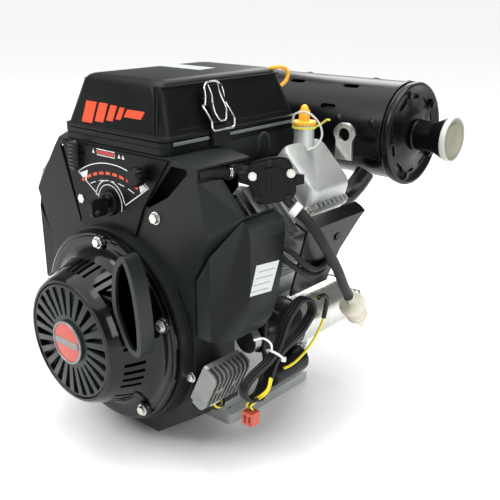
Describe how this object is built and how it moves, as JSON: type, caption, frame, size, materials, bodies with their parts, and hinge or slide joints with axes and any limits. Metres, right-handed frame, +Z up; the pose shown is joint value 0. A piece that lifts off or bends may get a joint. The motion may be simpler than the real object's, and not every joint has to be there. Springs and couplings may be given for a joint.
{
  "type": "small gasoline engine",
  "caption": "Air-cooled V-twin petrol engine with horizontal shaft, recoil and electric start, box air cleaner and transverse muffler.",
  "frame": {"origin": "on the base plane, straight below the crankshaft axis at the middle of its length between the banks", "axes": "+Z up, +Y along the crankshaft towards the output shaft, +X towards the muffler outlet"},
  "size_m": [0.49, 0.487, 0.4555],
  "materials": {
    "cast_aluminium": "as cast, blasted",
    "machined_steel": "turned and ground",
    "zinc_steel": "bright zinc plated",
    "black_plastic": "fine moulded grain, satin",
    "gloss_black": "gloss powder coat",
    "black_enamel": "heat-proof semi-gloss enamel",
    "black_rubber": "matte",
    "grey_plastic": "satin",
    "filter_paper": "pleated paper",
    "white_plastic": "translucent",
    "orange_plastic": "satin",
    "yellow_wire": "satin",
    "red_plastic": "satin"
  },
  "bodies": {
    "root": {"air_cleaner_base": "black_plastic", "blower_housing": "black_plastic", "carburettor": "cast_aluminium", "connecting_rod_left": "machined_steel", "connecting_rod_right": "machined_steel", "control_panel": "black_plastic", "crankcase": "cast_aluminium", "crankcase_cover": "cast_aluminium", "crankpin": "machined_steel", "cylinder_baffle_left": "black_enamel", "cylinder_baffle_right": "black_enamel", "cylinder_head_left": "cast_aluminium", "cylinder_head_right": "cast_aluminium", "cylinder_left": "cast_aluminium", "cylinder_right": "cast_aluminium", "exhaust_pipe_left": "black_enamel", "exhaust_pipe_right": "black_enamel", "filter_element": "filter_paper", "fuel_filter": "white_plastic", "fuel_hose": "black_rubber", "fuel_pump": "black_plastic", "harness_connector": "red_plastic", "harness_hank": "black_rubber", "harness_lead": "black_rubber", "heat_shield": "black_enamel", "intake_manifold": "cast_aluminium", "lifting_eye": "zinc_steel", "muffler_body": "black_enamel", "muffler_end_cap": "black_enamel", "oil_filter": "black_enamel", "piston_left": "cast_aluminium", "piston_right": "cast_aluminium", "pulse_hose": "black_rubber", "recoil_housing": "gloss_black", "side_casing_left": "black_plastic", "side_casing_right": "black_plastic", "starter_motor": "zinc_steel", "starter_solenoid": "black_enamel", "stop_lead": "yellow_wire", "tail_pipe": "black_enamel", "valve_cover_left": "cast_aluminium", "valve_cover_right": "cast_aluminium", "voltage_regulator": "cast_aluminium"},
    "crank": {"crankshaft_front": "machined_steel", "crankshaft_rear": "machined_steel", "flywheel": "machined_steel", "cooling_fan": "black_plastic", "starter_cup": "black_enamel"},
    "cam": {"camshaft": "machined_steel"},
    "spool": {"rope_spool": "grey_plastic"},
    "handle": {"pull_handle": "black_plastic"},
    "throttle": {"throttle_lever": "grey_plastic"},
    "choke": {"choke_knob": "black_plastic"},
    "key": {"ignition_key": "black_plastic"},
    "cover": {"air_cleaner_cover": "black_plastic"},
    "latch_right": {"latch_right": "zinc_steel"},
    "latch_left": {"latch_left": "zinc_steel"},
    "oil_cap": {"oil_filler_cap": "orange_plastic"},
    "tail_cap": {"tail_pipe_cap": "white_plastic"},
    "pinion": {"starter_pinion": "machined_steel"}
  },
  "joints": [
    {"name": "crank_spin", "type": "hinge", "parent": "root", "child": "crank", "pos_m": [0, 0, 0.151], "axis": [0, 1, 0], "continuous": true},
    {"name": "cam_spin", "type": "hinge", "parent": "root", "child": "cam", "pos_m": [0, 0, 0.2185], "axis": [0, 1, 0], "continuous": true},
    {"name": "handle_pull", "type": "slide", "parent": "root", "child": "handle", "axis": [1, 0, 0], "range_m": [0, 0.09], "stiffness_N_per_m": 60, "springref_m": -0.2},
    {"name": "spool_turn", "type": "hinge", "parent": "root", "child": "spool", "pos_m": [0, -0.2045, 0.151], "axis": [0, 1, 0], "range_deg": [0, 82]},
    {"name": "throttle_slide", "type": "slide", "parent": "root", "child": "throttle", "axis": [1, 0, 0], "range_m": [-0.014, 0.014]},
    {"name": "choke_pull", "type": "slide", "parent": "root", "child": "choke", "axis": [0, -1, 0], "range_m": [0, 0.02]},
    {"name": "key_turn", "type": "hinge", "parent": "root", "child": "key", "pos_m": [0, -0.16, 0.309], "axis": [0, 1, 0], "range_deg": [0, 80]},
    {"name": "cover_lift", "type": "slide", "parent": "root", "child": "cover", "axis": [0, 0, 1], "range_m": [0, 0.08]},
    {"name": "latch_right_swing", "type": "hinge", "parent": "cover", "child": "latch_right", "pos_m": [0.086, -0.06, 0.424], "axis": [0, -1, 0], "range_deg": [0, 110]},
    {"name": "latch_left_swing", "type": "hinge", "parent": "cover", "child": "latch_left", "pos_m": [-0.086, -0.06, 0.424], "axis": [0, 1, 0], "range_deg": [0, 110]},
    {"name": "oil_cap_lift", "type": "slide", "parent": "root", "child": "oil_cap", "axis": [0, 0, 1], "range_m": [0, 0.045]},
    {"name": "tail_cap_pull", "type": "slide", "parent": "root", "child": "tail_cap", "axis": [1, 0, 0], "range_m": [0, 0.03]},
    {"name": "pinion_shift", "type": "slide", "parent": "root", "child": "pinion", "axis": [0, -1, 0], "range_m": [0, 0.012], "stiffness_N_per_m": 200, "springref_m": -0.01}
  ],
  "couplings": [
    {"joint": "cam_spin", "follows": "crank_spin", "ratio": -0.5},
    {"joint": "spool_turn", "follows": "handle_pull", "rad_per_m": 15.625}
  ]
}
